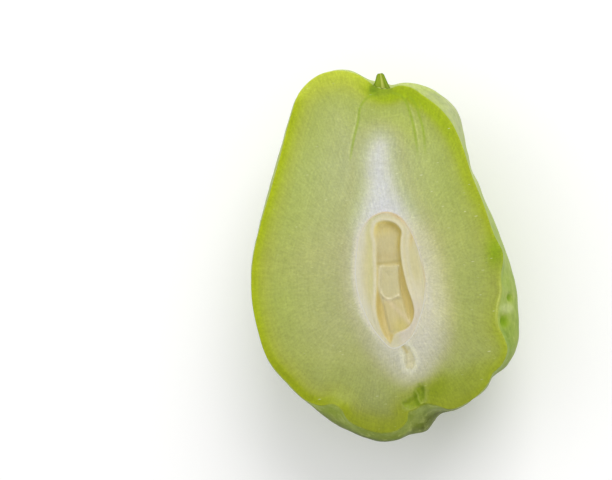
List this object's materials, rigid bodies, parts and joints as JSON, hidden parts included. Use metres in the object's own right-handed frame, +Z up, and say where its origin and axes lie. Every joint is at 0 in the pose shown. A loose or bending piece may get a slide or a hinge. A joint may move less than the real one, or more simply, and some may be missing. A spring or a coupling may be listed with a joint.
{
  "type": "halved chayote squash",
  "caption": "Pear-shaped chayote squash cut lengthwise, lying on its rounded lobed back with the cut face and its seed upwards.",
  "frame": {"origin": "on the surface that the half rests on, under the middle of its bounding box", "axes": "+Z up out of the cut face, +Y along the fruit towards the stem, +X to the right as one looks down on the cut face with the stem at the top"},
  "size_m": [0.0868, 0.1238, 0.0425],
  "materials": {
    "squash_half": "moist translucent flesh, pale yellow-green with a bright rim, in a thin satin green skin",
    "seed_coat": "thin moist orange-yellow skin round the seed",
    "seed": "smooth moist cream seed leaves, ochre inside the hollow",
    "stem_stub": "dull fibrous green stem with a paler cut middle"
  },
  "bodies": {
    "root": {"squash_half": "squash_half", "seed_coat": "seed_coat", "seed": "seed", "stem_stub": "stem_stub"}
  },
  "joints": []
}
